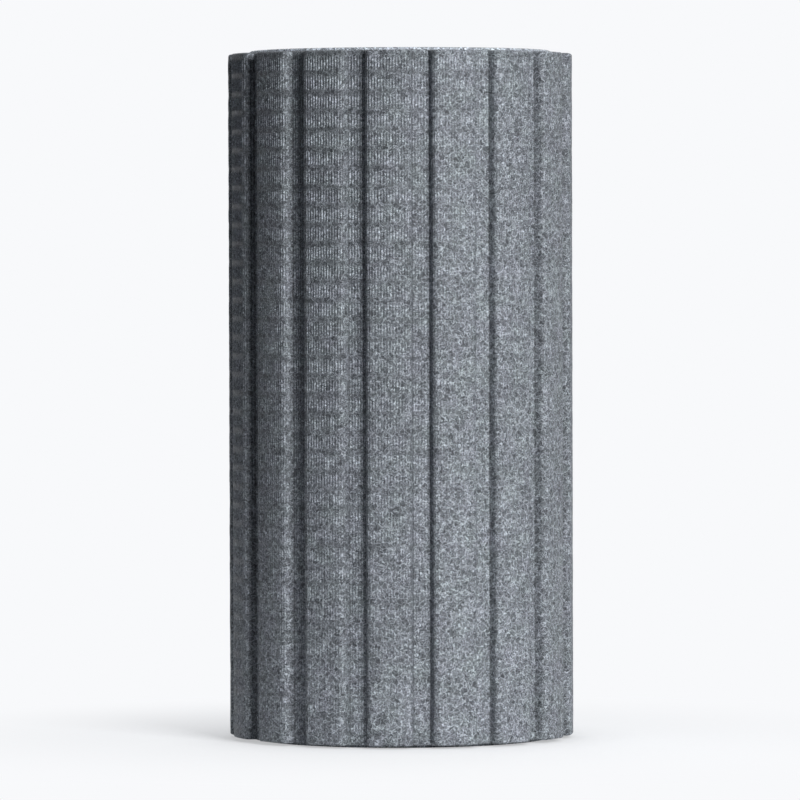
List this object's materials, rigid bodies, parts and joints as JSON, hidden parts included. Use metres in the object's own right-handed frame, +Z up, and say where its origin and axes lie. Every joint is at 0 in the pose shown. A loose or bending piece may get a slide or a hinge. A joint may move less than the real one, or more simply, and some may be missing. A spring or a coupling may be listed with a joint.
{
  "type": "massage roller",
  "caption": "Grooved cylindrical massage roller in grey melange bead foam, with an open core bore and two flat ends to stand on.",
  "frame": {"origin": "centre of the foot, where the roller's axis meets the surface that it stands on", "axes": "+Z up along the roller's axis; -Y is the side that faces the viewer in the picture, and +X is to that viewer's right"},
  "size_m": [0.15, 0.15, 0.3],
  "materials": {
    "bead_foam": "matte"
  },
  "bodies": {
    "root": {"roller_body": "bead_foam"}
  },
  "joints": []
}
